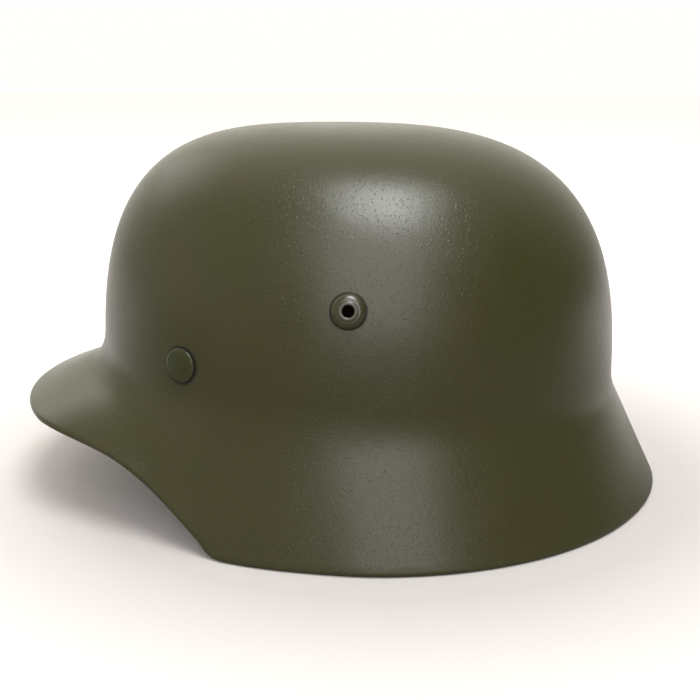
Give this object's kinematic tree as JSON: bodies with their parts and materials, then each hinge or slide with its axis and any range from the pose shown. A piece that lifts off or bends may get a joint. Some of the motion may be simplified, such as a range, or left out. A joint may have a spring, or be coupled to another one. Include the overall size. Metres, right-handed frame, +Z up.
{
  "type": "steel helmet",
  "caption": "Pressed steel helmet with a low skull, short visor, ear guards, flared neck guard, rolled edge, vent bushings and liner pins, without liner or strap.",
  "frame": {"origin": "on the plane that the lower edge stands on, at the middle of the bounding box", "axes": "-Y to the wearer's front, +X to the wearer's left, +Z up"},
  "size_m": [0.2244, 0.292, 0.162],
  "materials": {
    "shell_paint": "semi-matt green-grey paint with a fine grain",
    "fitting_paint": "the same paint, worn a little at the edges"
  },
  "bodies": {
    "root": {"shell": "shell_paint", "vent_bushing_left": "fitting_paint", "vent_bushing_right": "fitting_paint", "liner_pin_left": "fitting_paint", "liner_pin_right": "fitting_paint", "liner_pin_rear": "fitting_paint"}
  },
  "joints": []
}
